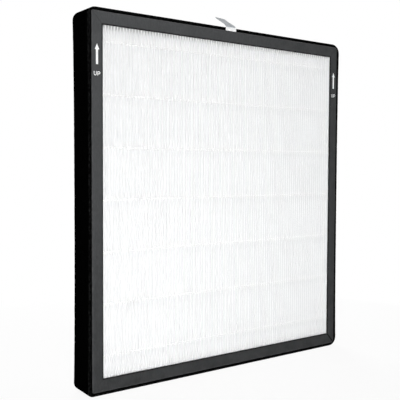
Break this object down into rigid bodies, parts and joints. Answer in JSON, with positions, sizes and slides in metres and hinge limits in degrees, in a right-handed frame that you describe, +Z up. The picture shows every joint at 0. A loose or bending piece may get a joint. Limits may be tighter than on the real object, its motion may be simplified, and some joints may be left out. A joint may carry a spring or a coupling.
{
  "type": "panel air filter",
  "caption": "Flat pleated air filter cartridge in a mitred board frame, with a foam gasket round its edge and a pull tab at the top, for the filter bay of an air purifier.",
  "frame": {"origin": "middle of the lower side of the foam gasket, halfway through the depth", "axes": "+Z up as the printed arrows say, front face towards -Y, +X to the right seen from the front"},
  "size_m": [0.3504, 0.03, 0.3878],
  "materials": {
    "frame_board": "matte",
    "filter_sheet": "matte",
    "hot_melt_glue": "satin",
    "foam": "matte",
    "tab_strip": "satin"
  },
  "bodies": {
    "panel": {"rail_top": "frame_board", "rail_right": "frame_board", "rail_bottom": "frame_board", "rail_left": "frame_board", "end_seal_bottom": "hot_melt_glue", "end_seal_top": "hot_melt_glue", "side_seal_left": "hot_melt_glue", "side_seal_right": "hot_melt_glue", "front_bead_1": "hot_melt_glue", "front_bead_2": "hot_melt_glue", "front_bead_3": "hot_melt_glue", "front_bead_4": "hot_melt_glue", "front_bead_5": "hot_melt_glue", "front_bead_6": "hot_melt_glue", "front_bead_7": "hot_melt_glue", "rear_bead_1": "hot_melt_glue", "rear_bead_2": "hot_melt_glue", "rear_bead_3": "hot_melt_glue", "rear_bead_4": "hot_melt_glue", "rear_bead_5": "hot_melt_glue", "rear_bead_6": "hot_melt_glue", "rear_bead_7": "hot_melt_glue", "pleat_pack": "filter_sheet", "foam_strip_left": "foam", "foam_strip_right": "foam", "pull_tab_root": "tab_strip"},
    "flap": {"pull_tab": "tab_strip"}
  },
  "joints": [
    {"name": "tab_bend", "type": "hinge", "parent": "panel", "child": "flap", "pos_m": [0.0006, -0.01475, 0.3748], "axis": [1, 0, 0], "range_deg": [-30, 150], "stiffness_Nm_per_rad": 0.004}
  ]
}
